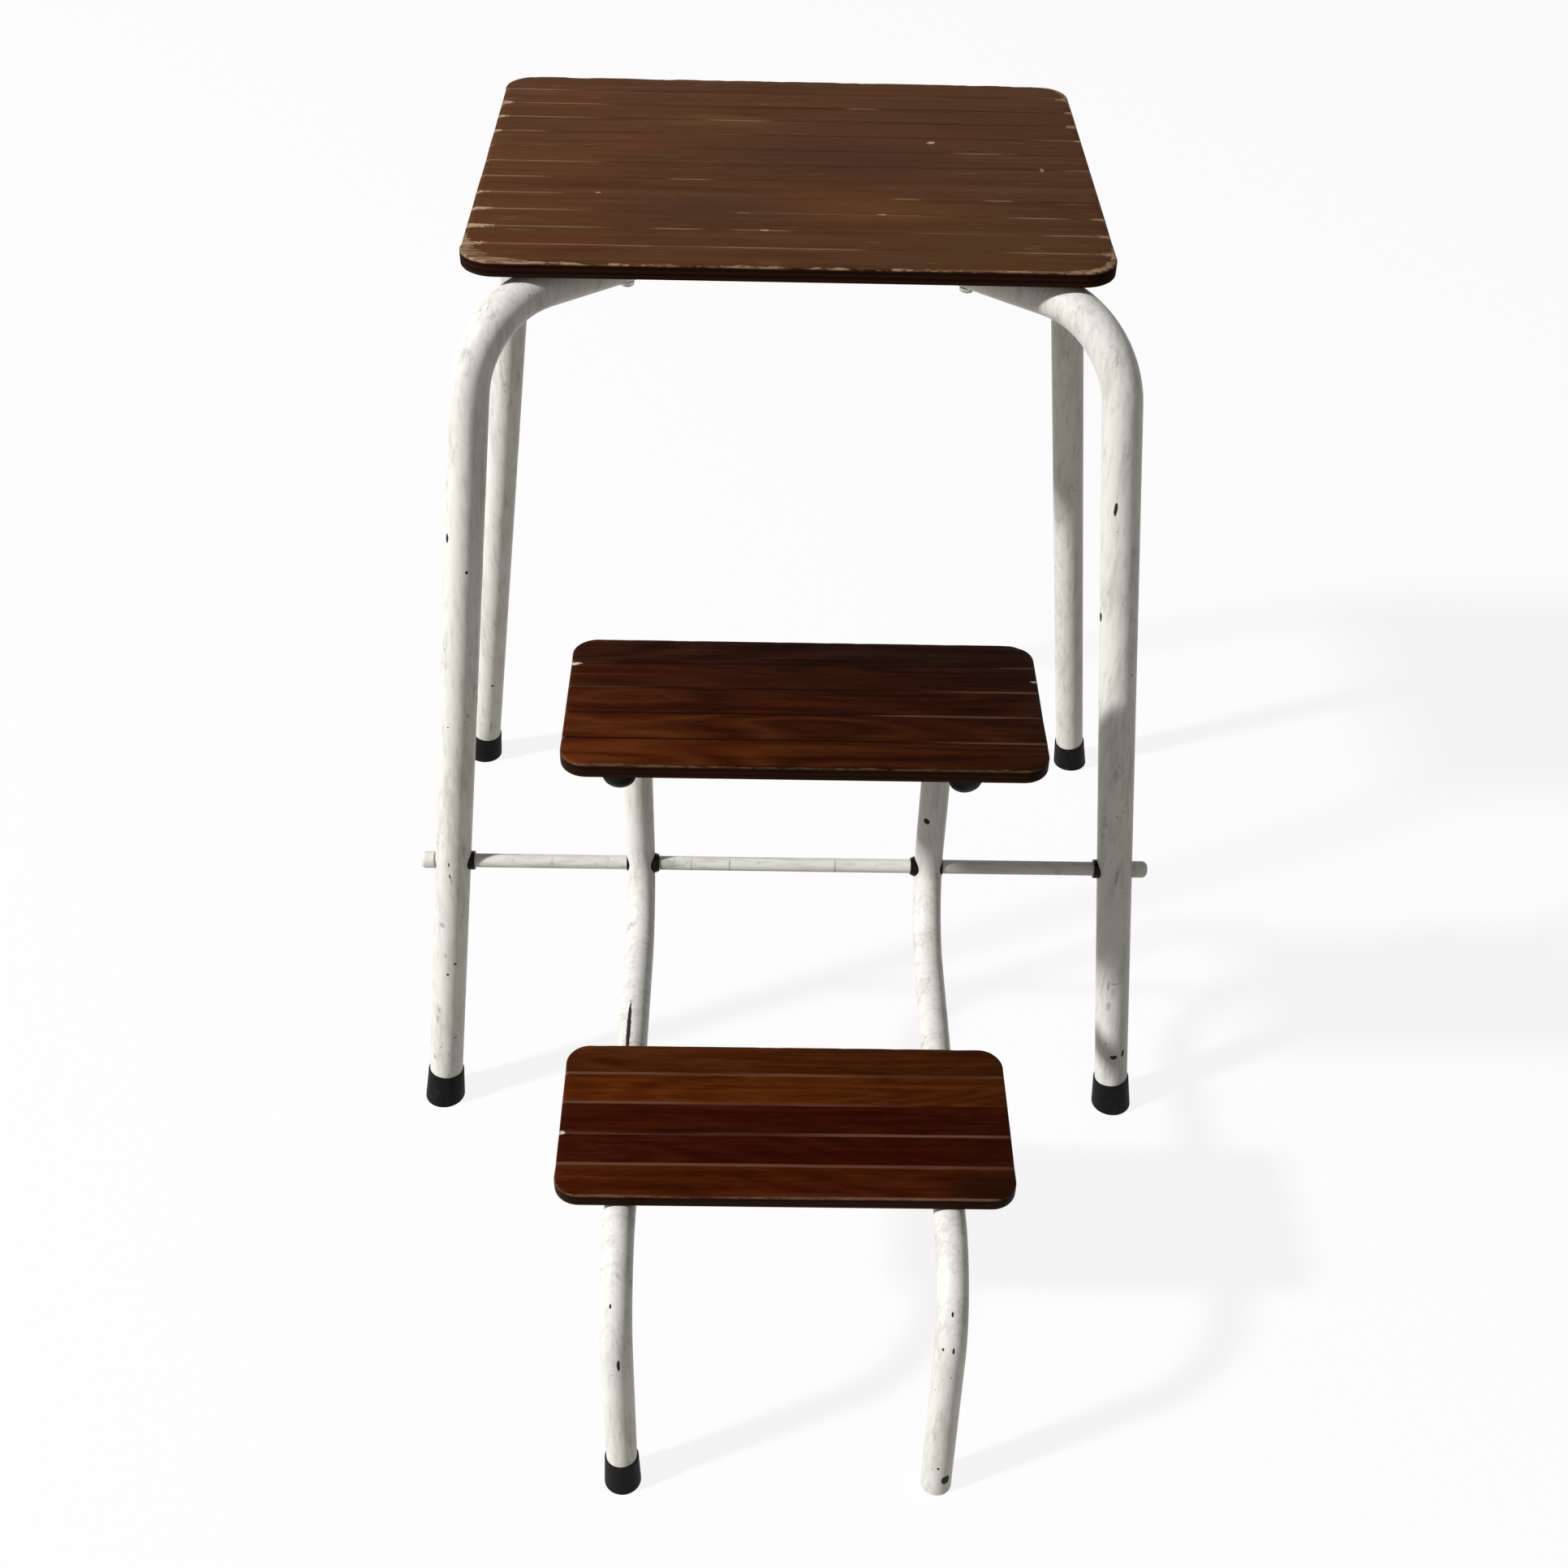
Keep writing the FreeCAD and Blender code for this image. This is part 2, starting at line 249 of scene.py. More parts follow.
# A noise is its turns to a metre along each axis, its detail, its roughness and its distortion.
# A range is where a mask starts and where it is full. Lengths are metres.
woodSet = {
    "fineNoise": ((9.0, 900.0, 300.0), 3.0, 0.6),
    "streakNoise": ((3.5, 170.0, 120.0), 3.0, 0.6, 0.3),
    "cloudNoise": ((7.0, 22.0, 20.0), 3.0, 0.55, 0.6),
    "figureNoise": ((4.0, 26.0, 20.0), 1.0, 0.4, 0.5),
    "mottleNoise": ((60.0, 480.0, 200.0), 3.0, 0.65),
    "scratchNoise": ((32.0, 800.0, 300.0), 2.0, 0.5),
    "scratchPatchNoise": ((12.0, 40.0, 40.0), 2.0),
    "raggedNoise": ((30.0, 500.0, 400.0), 3.0, 0.6),
    "weakNoise": ((5.0, 30.0, 30.0), 2.0),
    "tornNoise": ((500.0, 900.0, 500.0), 2.0, 0.6),
    "patchyNoise": ((45.0, 130.0, 90.0), 4.0, 0.65),
    "layerNoise": ((20.0, 20.0, 500.0),),
    "bareNoise": ((90.0, 700.0, 500.0), 3.0, 0.6),
    "stripShift": (0.71, 0.13),  # how far the grain moves from strip to strip
    "stripSeed": 3.0,  # picks which strips are darker
    "streakShare": 0.55,
    "fineShare": 0.25,
    "cloudShare": 0.35,
    "ringTurns": 9.0,
    "toneStops": (0.36, 0.56, 0.78),  # dark, middle and light
    "redRange": (0.50, 0.70),
    "redShare": 0.6,
    "patchCloud": 1.6,  # how uneven a patch's edge is
    "patchRange": (0.0, 0.7),
    "leftRange": (0.30, 0.02),  # shares of the length, from the left end
    "scratchEnds": 0.03,  # how many more there are at the ends
    "scratchRange": (0.66, 0.74),
    "scratchPatchRange": (0.45, 0.60),
    "backRange": (0.50, 0.75),  # shares of the depth, from the front
    "backWeakRange": (0.44, 0.56),
    "lipRagged": 0.0008,
    "lipFade": 0.0006,
    "rubbedReach": (0.005, 0.010),  # across the groove and down
    "rubbedRagged": 1.2,
    "rubbedRange": (0.0, 0.6),
    "rubbedShare": 0.85,
    "torn": 1.4,
    "wedgeReach": 0.004,
    "nickRange": (0.15, 0.35),
    "nickSpared": 0.55,  # how much fainter at the right end
    "patchyLevel": 0.52,
    "cornerRagged": 3.2,
    "cornerLevel": 0.5,
    "notchWear": 0.012,
    "bareRange": (0.0009, 0.0001),  # in from the worn outline
    "topRange": (0.0016, 0.0007),  # below the top
    "bareTopRange": (0.0019, 0.0010),
    "bareStops": (0.40, 0.50, 0.57, 0.66),
    "layerWave": 0.1,
    "layerGaps": (0.00, 0.36),
    "layers": [  # share of the height and colour
        (0.20, (0.026, 0.010, 0.005)),
        (0.52, (0.022, 0.008, 0.004)),
        (0.68, (0.007, 0.003, 0.002)),
        (0.90, (0.022, 0.008, 0.004)),
    ],
    "fineRough": 0.25,
    "bareRough": 0.15,
    "sideRough": 0.1,
    "fineRelief": 0.6,
    "streakRelief": 0.4,
    "bareRelief": 0.3,
    "reliefDepth": 0.0003,
    "edgeSegments": 4,
    "upwards": 0.99,  # a flat face's least upward normal
    "cutTolerance": 1e-6,
    "grooveTolerance": 1e-5,
    "wornRim": 0.9,  # share of the rim that wears
    "chipLevel": 0.05,
    "fineChips": 4,  # times as fine as the others
    "fineChipShare": 0.5,
}
seatSet = {
    **woodSet,
    "strips": 12,
    "corner": 0.022,
    "cornerSegments": 12,
    "sharpAngle": 25,
    "edgeRound": 0.0015,
    "rim": 0.0026,
    "grooveWidth": 0.0012,
    "grooveDepth": 0.0003,
    "cell": 0.004,
    "chipDepth": 0.0006,
    "chipScale": 60.0,
    "notchDepth": 0.0008,
    "notchReach": 0.003,
    "stripTones": 0.06,
    "dark": (0.039, 0.0120, 0.0030),
    "middle": (0.070, 0.0245, 0.0070),
    "light": (0.102, 0.044, 0.018),
    "red": (0.080, 0.0225, 0.0045),
    "bare": (0.40, 0.27, 0.155),
    "streak": (0.25, 0.155, 0.09),
    "edge": (0.008, 0.0025, 0.0012),
    "roughness": 0.55,
    "specular": 0.02,
    "wear": 0.75,
    "arrisWear": 0.007,
    "mottle": 0.12,
    "figure": 0.0,
    "tones": (),
    "grooveWear": 0.75,
    "grooveReach": 0.0008,
    "grooveDark": 0.08,
    "backDark": 0.55,
    "lipPlace": 0.0005,
    "lipReach": 0.0011,
    "lipTone": (0.25, 0.155, 0.09),
    "lipRange": (0.62, 0.74),
    "leftWear": 0.22,
    "rightWear": 0.10,
    "rightRange": (0.80, 0.99),
    "scratches": 0.5,
    "leftTone": 1.17,
    "rightTone": 0.86,
    "bareCorners": [  # two sides, reach and strength
        ("left", "front", 0.045, 0.013),
        ("right", "front", 0.040, 0.006),
        ("right", "back", 0.045, 0.004),
    ],
    "nick": (0.40, 0.275, 0.165),
    "nicks": [  # place and half sizes
        ((0.0894, 0.2200, 0.6430), (0.0034, 0.0028, 0.0030)),
        ((0.1593, 0.1756, 0.6430), (0.0018, 0.0040, 0.0030)),
        ((0.0520, 0.0985, 0.6430), (0.0034, 0.0008, 0.0030)),
        ((-0.0205, 0.0718, 0.6430), (0.0034, 0.0008, 0.0030)),
        ((-0.1260, 0.1250, 0.6430), (0.0024, 0.0010, 0.0030)),
    ],
    "rubbed": [  # groove, start and end in x
        (1, -0.203, -0.120),
        (1, -0.118, -0.080),
        (1, -0.010, 0.044),
        (1, 0.120, 0.188),
        (2, -0.203, -0.110),
        (2, -0.096, -0.052),
        (2, -0.046, 0.002),
        (2, 0.144, 0.190),
        (3, -0.203, -0.130),
        (3, -0.040, -0.028),
        (3, 0.122, 0.175),
        (4, -0.203, -0.143),
        (4, 0.056, 0.080),
        (4, 0.116, 0.138),
        (5, -0.088, -0.048),
        (7, 0.098, 0.140),
        (8, -0.203, -0.160),
        (9, -0.203, -0.135),
        (9, -0.066, -0.014),
        (10, -0.203, -0.120),
        (10, 0.030, 0.060),
        (11, -0.203, -0.150),
    ],
    "wedges": [  # groove, end, length and half width
        (1, "left", 0.0190, 0.0034),
        (2, "left", 0.0200, 0.0040),
        (3, "left", 0.0160, 0.0032),
        (4, "left", 0.0100, 0.0026),
        (8, "left", 0.0090, 0.0030),
        (9, "left", 0.0100, 0.0034),
        (10, "left", 0.0110, 0.0040),
        (1, "right", 0.0130, 0.0030),
        (2, "right", 0.0110, 0.0026),
        (3, "right", 0.0120, 0.0022),
        (8, "right", 0.0060, 0.0030),
        (9, "right", 0.0100, 0.0036),
        (10, "right", 0.0070, 0.0032),
        (11, "right", 0.0120, 0.0040),
    ],
    "patches": [  # place, half sizes, colour and strength
        ((0.0200, 0.1850, 0.6430), (0.1000, 0.0450, 0.0200), (0.040, 0.0150, 0.0070), 0.5),
        ((0.0514, 0.1068, 0.6430), (0.0800, 0.0300, 0.0200), (0.110, 0.0400, 0.0090), 0.5),
        ((-0.0600, 0.1000, 0.6430), (0.0800, 0.0350, 0.0200), (0.052, 0.0210, 0.0110), 0.5),
        ((0.1200, 0.0400, 0.6430), (0.1100, 0.0800, 0.0200), (0.072, 0.0300, 0.0080), 0.7),
        ((-0.0500, 0.2550, 0.6430), (0.0900, 0.0140, 0.0200), (0.120, 0.0520, 0.0160), 0.5),
    ],
}


class BoardPlace:
    # Where a point lies on a board: its strip, its groove and the ends
    def __init__(self, node, place, values):
        self.low, self.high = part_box(node)
        self.place = place
        self.x, self.y, self.z = axes(place)
        self.width = self.high.x - self.low.x
        self.depth = self.high.y - self.low.y
        self.pitch = self.depth / values["strips"]
        across = (self.y - self.low.y) / self.pitch
        self.strip = across.maths("FLOOR", across)
        self.grooveAway = across.maths("PINGPONG", across, 0.5) * self.pitch
        shiftX, shiftY = values["stripShift"]
        self.own = vector(self.x + self.strip * shiftX, self.y + self.strip * shiftY, self.z)
        self.rightness = (self.x - self.low.x) / self.width
        self.backness = (self.y - self.low.y) / self.depth
        self.leftEnd = ramp(self.rightness, *values["leftRange"])
        self.rightEnd = ramp(self.rightness, *values["rightRange"])
        self.edges = {"left": self.low.x, "right": self.high.x, "front": self.low.y, "back": self.high.y}

    def nearTop(self, start, end):
        # 0 at start below the top, 1 at end below it
        return ramp(self.z, self.high.z - start, self.high.z - end)

    def onGroove(self, number, x):
        return x, self.low.y + number * self.pitch, self.high.z

    def inset(self, corner):
        # Distance inwards from the outline, whose corners are round
        middle = (self.low + self.high) / 2
        outX = abs(self.x - middle.x) - (self.width / 2 - corner)
        outY = abs(self.y - middle.y) - (self.depth / 2 - corner)
        roundX = outX.maths("MAXIMUM", outX, 0.0)
        roundY = outY.maths("MAXIMUM", outY, 0.0)
        reach = outX.maths("SQRT", roundX * roundX + roundY * roundY)
        inner = outX.maths("MAXIMUM", outX, outY)
        inner = inner.maths("MINIMUM", inner, 0.0)
        return corner - (reach + inner)


def stainedGrain(at, values):
    # Each strip has its own stretch of grain.
    fine = speckle(at.own, *values["fineNoise"])
    streak = speckle(at.own, *values["streakNoise"])
    cloud = speckle(at.own, *values["cloudNoise"])
    figure = speckle(at.own, *values["figureNoise"])
    rings = figure.maths("PINGPONG", figure * values["ringTurns"], 0.5) * 2.0
    mottle = speckle(at.own, *values["mottleNoise"])
    tone = streak * values["streakShare"] + fine * values["fineShare"] + cloud * values["cloudShare"]
    tone = tone + (mottle - 0.5) * values["mottle"] + (rings - 0.5) * values["figure"]
    tones = (values["dark"], values["middle"], values["light"])
    body = colours(tone, list(zip(values["toneStops"], tones)))
    body = mixed(ramp(cloud, *values["redRange"]) * values["redShare"], body, values["red"])
    return body, fine, streak, cloud


def stainTones(at, body, values):
    # The stain differs from strip to strip and from end to end.
    if values["tones"]:
        stops = [(number / values["strips"], tone) for number, tone in enumerate(values["tones"])]
        body = mixed(1.0, body, colours(at.backness, stops, "CONSTANT"), "MULTIPLY")
    else:
        seed = {"W": at.strip + values["stripSeed"]}
        chance = at.strip.node("ShaderNodeTexWhiteNoise", {"noise_dimensions": "1D"}, seed)
        body = shaded(body, chance * values["stripTones"] + (1.0 - values["stripTones"] / 2))
    fade = at.x.maths("POWER", values["rightTone"] / values["leftTone"], at.rightness)
    return shaded(body, fade * values["leftTone"])


def stainPatches(at, body, cloud, values):
    for spot, size, colour, strength in values["patches"]:
        near = nearness(at.place, spot, size) + (cloud - 0.5) * values["patchCloud"]
        body = mixed(ramp(near, *values["patchRange"]) * strength, body, colour)
    return body


def scratches(at, body, values):
    # Pale scratches along the grain, more of them at the ends
    more = values["scratchEnds"]
    scratch = speckle(at.place, *values["scratchNoise"])
    mask = ramp(scratch + at.leftEnd * more + at.rightEnd * more, *values["scratchRange"])
    patch = speckle(at.place, *values["scratchPatchNoise"])
    mask = mask * ramp(patch, *values["scratchPatchRange"])
    return mixed(mask * values["scratches"], body, values["streak"])


def grooveWear(at, body, ragged, values):
    # Grooves keep dark stain below and lose it along their edges.
    weak = speckle(at.own, *values["weakNoise"])
    inGroove = ramp(at.grooveAway, values["grooveReach"], values["grooveReach"] / 4)
    atBack = ramp(at.backness, *values["backRange"]) * ramp(weak, *values["backWeakRange"])
    body = mixed(inGroove * (atBack * values["backDark"] + values["grooveDark"]), body, values["edge"])
    lip = abs(at.grooveAway - values["lipPlace"]) + ragged * values["lipRagged"]
    lip = ramp(lip, values["lipReach"], values["lipReach"] - values["lipFade"])
    ends = at.leftEnd * values["leftWear"] + at.rightEnd * values["rightWear"]
    worn = ramp(weak + ends, *values["lipRange"])
    if values["rubbed"]:
        spots = []
        for number, start, end in values["rubbed"]:
            reach = ((end - start) / 2, *values["rubbedReach"])
            spots.append((at.onGroove(number, (start + end) / 2), reach))
        rubbed = nearestOf(at.place, spots) + (ragged - 0.5) * values["rubbedRagged"]
        worn = worn.maths("MAXIMUM", worn, ramp(rubbed, *values["rubbedRange"]) * values["rubbedShare"])
    return mixed(lip * worn * values["grooveWear"], body, values["lipTone"])


def nicks(at, body, values):
    # Nicks down to pale wood, and splinters torn from the ends of grooves
    torn = (speckle(at.place, *values["tornNoise"]) - 0.5) * values["torn"]
    spots = list(values["nicks"])
    for number, end, length, across in values["wedges"]:
        spots.append((at.onGroove(number, at.edges[end]), (length, across, values["wedgeReach"])))
    mask = ramp(nearestOf(at.place, spots) + torn, *values["nickRange"])
    return mixed(mask * (1.0 - at.rightEnd * values["nickSpared"]), body, values["nick"])


def bareMask(at, ragged, values):
    # Bare wood along the outline, at corners and where grooves end on the left
    patchy = speckle(at.place, *values["patchyNoise"])
    reach = (patchy - values["patchyLevel"]) * values["arrisWear"]
    for side, end, size, strength in values["bareCorners"]:
        near = nearness(at.place, (at.edges[side], at.edges[end], at.high.z), (size, size, size))
        near = near.maths("MAXIMUM", near, 0.0)
        reach = reach + near * strength * (ragged * values["cornerRagged"] - values["cornerLevel"])
    notch = ramp(at.grooveAway, values["notchReach"], 0.0) * at.leftEnd * values["leftWear"]
    reach = reach + notch * values["notchWear"]
    return ramp(at.inset(values["corner"]) - reach, *values["bareRange"]) * values["wear"]


def sideLayers(at, values):
    # Layers show on the sides, dark with old stain.
    wave = (speckle(at.place, *values["layerNoise"]) - 0.5) * values["layerWave"]
    layer = (at.z - at.low.z) / (at.high.z - at.low.z) + wave
    gaps = [(place, values["edge"]) for place in values["layerGaps"]]
    return colours(layer, sorted(values["layers"] + gaps))


def bareGrain(at, values):
    grain = speckle(at.place, *values["bareNoise"])
    tones = (values["bare"], values["streak"], values["middle"], values["bare"])
    return colours(grain, list(zip(values["bareStops"], tones)))


def boardFinish(name, node, values):
    made, shader, place = startMaterial(name)
    at = BoardPlace(node, place, values)
    ragged = speckle(place, *values["raggedNoise"])
    body, fine, streak, cloud = stainedGrain(at, values)
    body = stainTones(at, body, values)
    body = stainPatches(at, body, cloud, values)
    body = scratches(at, body, values)
    body = grooveWear(at, body, ragged, values)
    body = nicks(at, body, values)
    bare = bareMask(at, ragged, values)
    side = 1.0 - at.nearTop(*values["topRange"])
    body = mixed(side, body, sideLayers(at, values))
    body = mixed(bare * at.nearTop(*values["bareTopRange"]), body, bareGrain(at, values))
    plug(shader, "Base Color", body)
    rough = values["roughness"] + (fine - 0.5) * values["fineRough"]
    plug(shader, "Roughness", rough + bare * values["bareRough"] + side * values["sideRough"])
    relief = fine * values["fineRelief"] + streak * values["streakRelief"] - bare * values["bareRelief"]
    plug(shader, "Normal", bump(relief, values["reliefDepth"]))
    shader.inputs["Specular IOR Level"].default_value = values["specular"]
    return made


def rise(edge):
    return abs(edge.verts[0].co.z - edge.verts[1].co.z)


def boardBlank(low, high, values):
    # A board with round corners and eased edges, and a rim round its flat top
    size = high - low
    mesh = bmesh.new()
    bmesh.ops.create_cube(mesh, size=1.0)
    bmesh.ops.scale(mesh, vec=size, verts=mesh.verts)
    bmesh.ops.translate(mesh, vec=(low + high) / 2, verts=mesh.verts)
    upright = [edge for edge in mesh.edges if rise(edge) > size.z / 2]
    bmesh.ops.bevel(mesh, geom=upright, offset=values["corner"], affect="EDGES",
                    segments=values["cornerSegments"], profile=0.5, material=-1)
    rims = [edge for edge in mesh.edges if rise(edge) < size.z / 2]
    bmesh.ops.bevel(mesh, geom=rims, offset=values["edgeRound"], affect="EDGES",
                    segments=values["edgeSegments"], profile=0.5, material=-1)
    mesh.normal_update()
    flat = [face for face in mesh.faces if face.normal.z > values["upwards"]]
    bmesh.ops.inset_region(mesh, faces=flat, thickness=values["rim"], use_even_offset=True)
    return mesh


def cut(mesh, place, direction, tolerance):
    whole = mesh.verts[:] + mesh.edges[:] + mesh.faces[:]
    bmesh.ops.bisect_plane(mesh, geom=whole, dist=tolerance, plane_co=place, plane_no=direction)


def cutGrooves(mesh, grooves, low, high, values):
    # The middle one of a groove's three cuts is pressed down. Cuts in x give the worn edge its points.
    tolerance = values["cutTolerance"]
    for groove in grooves:
        for step in (-0.5, 0.0, 0.5):
            cut(mesh, (0, groove + step * values["grooveWidth"], 0), (0, 1, 0), tolerance)
    size = high - low
    columns = round(size.x / values["cell"])
    for number in range(1, columns):
        cut(mesh, (low.x + size.x * number / columns, 0, 0), (1, 0, 0), tolerance)
    bottom = high.z - values["grooveDepth"]
    for groove in grooves:
        for vert in mesh.verts:
            if abs(vert.co.y - groove) < values["grooveTolerance"] and vert.co.z > bottom:
                vert.co.z = bottom


def wearEdge(mesh, grooves, low, high, values):
    # Worn and chipped top edge, notched where grooves end on the left
    size = high - low
    middle = (low + high) / 2
    corner = values["corner"]
    mesh.normal_update()
    for vert in mesh.verts:
        outX = abs(vert.co.x - middle.x) - size.x / 2 + corner
        outY = abs(vert.co.y - middle.y) - size.y / 2 + corner
        inset = corner - math.hypot(max(outX, 0.0), max(outY, 0.0)) - min(max(outX, outY), 0.0)
        if vert.co.z < high.z - 2 * values["edgeRound"] or inset > values["rim"] * values["wornRim"]:
            continue
        spot = vert.co * values["chipScale"]
        wear = noise.noise(spot) + values["fineChipShare"] * noise.noise(spot * values["fineChips"])
        amount = max(0.0, wear - values["chipLevel"]) * values["chipDepth"]
        if vert.co.x < low.x + values["rim"]:
            away = min(abs(vert.co.y - groove) for groove in grooves)
            amount += max(0.0, 1 - away / values["notchReach"]) * values["notchDepth"]
        vert.co -= vert.normal * amount
        vert.co.z = min(vert.co.z, high.z)


def smoothFaces(mesh, sharpAngle):
    mesh.normal_update()
    for face in mesh.faces:
        face.smooth = True
    for edge in mesh.edges:
        edge.smooth = edge.calc_face_angle(0.0) < math.radians(sharpAngle)


def makeBoard(name, node, values, body, finish):
    low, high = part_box(node)
    pitch = (high - low).y / values["strips"]
    grooves = [low.y + pitch * number for number in range(1, values["strips"])]
    mesh = boardBlank(low, high, values)
    cutGrooves(mesh, grooves, low, high, values)
    wearEdge(mesh, grooves, low, high, values)
    smoothFaces(mesh, values["sharpAngle"])
    piece = addPiece(name, mesh, finish)
    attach(piece, body)
    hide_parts(node)


seatFinish = boardFinish("seatWood", "seat_board", seatSet)
makeBoard("seat_top", "seat_board", seatSet, "frame", seatFinish)

treadSet = dict(
    seatSet,
    strips=5,
    corner=0.016,
    cell=0.005,
    chipDepth=0.0005,
    notchDepth=0.0002,
    grooveWidth=0.0014,
    grooveDepth=0.0007,
    dark=(0.026, 0.0045, 0.0006),
    middle=(0.050, 0.0108, 0.0014),
    light=(0.082, 0.023, 0.004),
    red=(0.050, 0.0085, 0.001),
    bare=(0.22, 0.135, 0.075),
    streak=(0.165, 0.095, 0.058),
    edge=(0.012, 0.003, 0.001),
    roughness=0.35,
    specular=0.02,
    wear=0.45,
    arrisWear=0.0025,
    mottle=0.4,
    grooveWear=0.8,
    grooveDark=0.2,
    backDark=0.0,
    lipPlace=0.0004,
    lipReach=0.0015,
    lipTone=(0.135, 0.068, 0.040),
    lipRange=(0.34, 0.62),
    leftWear=0.1,
    rightWear=0.0,
    leftTone=1.25,
    rightTone=0.84,
    figure=0.14,
    tones=[(0.95, 0.75, 0.9), (0.58, 0.32, 0.6), (0.60, 0.36, 0.6), (1.35, 1.32, 1.2), (0.98, 1.0, 1.3)],
    scratches=0.12,
    bareCorners=(),
    nick=(0.62, 0.56, 0.48),
    nicks=[((-0.1435, -0.2700, 0.2010), (0.0050, 0.0018, 0.0030))],
    rubbed=(),
    wedges=(),
    patches=[((0.1320, -0.3170, 0.2010), (0.0420, 0.0280, 0.0200), (0.010, 0.0030, 0.0010), 0.75)],
)
upperSet = dict(
    treadSet,
    leftTone=1.65,
    rightTone=0.54,
    lipReach=0.0012,
    lipTone=(0.110, 0.055, 0.032),
    lipRange=(0.66, 0.80),
    leftWear=0.12,
    rightWear=0.32,
    rightRange=(0.45, 0.99),
    grooveReach=0.0018,
    grooveDark=0.85,
    figure=0.3,
    tones=[(0.88, 0.80, 0.9), (0.80, 0.75, 0.9), (0.62, 0.55, 0.8), (0.52, 0.46, 0.8), (0.34, 0.33, 0.8)],
    nicks=[
        ((-0.1355, -0.0930, 0.4370), (0.0065, 0.0022, 0.0030)),
        ((0.1490, -0.1060, 0.4370), (0.0030, 0.0014, 0.0030)),
    ],
    patches=[((0.0300, -0.1060, 0.4370), (0.0800, 0.0200, 0.0200), (0.022, 0.0050, 0.0012), 0.6)],
)
lowerFinish = boardFinish("lowerTreadWood", "lower_tread", treadSet)
makeBoard("lower_step", "lower_tread", treadSet, "step_unit", lowerFinish)
upperFinish = boardFinish("upperTreadWood", "upper_tread", upperSet)
makeBoard("upper_step", "upper_tread", upperSet, "step_unit", upperFinish)
print("boards made")


# Enamel of the tubes and the rod, brushed along them

